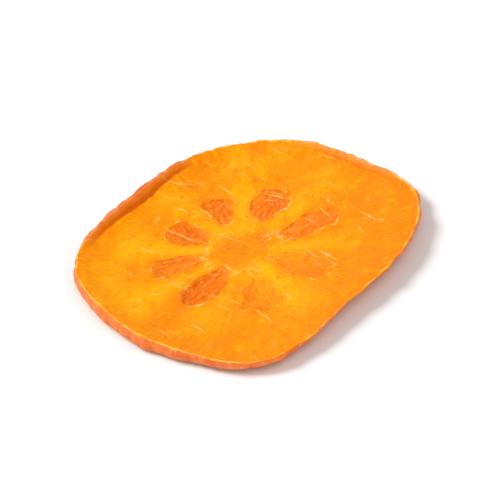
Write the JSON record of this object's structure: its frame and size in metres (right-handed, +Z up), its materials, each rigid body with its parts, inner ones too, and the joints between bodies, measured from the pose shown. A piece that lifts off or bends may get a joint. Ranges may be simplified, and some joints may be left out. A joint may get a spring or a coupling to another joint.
{
  "type": "dried persimmon slice",
  "caption": "Thin round slice of dried persimmon, orange all through, with a star of seed chambers round its core and a curled, skin-edged rim.",
  "frame": {"origin": "middle of the slice's plan, at the level of the flat spot it rests on", "axes": "+Z up through the thickness, from the underside to the cut face; +X and +Y in the plane of the slice"},
  "size_m": [0.0668, 0.0642, 0.0055],
  "materials": {
    "persimmon_flesh": "supple, lightly glossy dried fruit"
  },
  "bodies": {
    "root": {"persimmon_slice": "persimmon_flesh"}
  },
  "joints": []
}
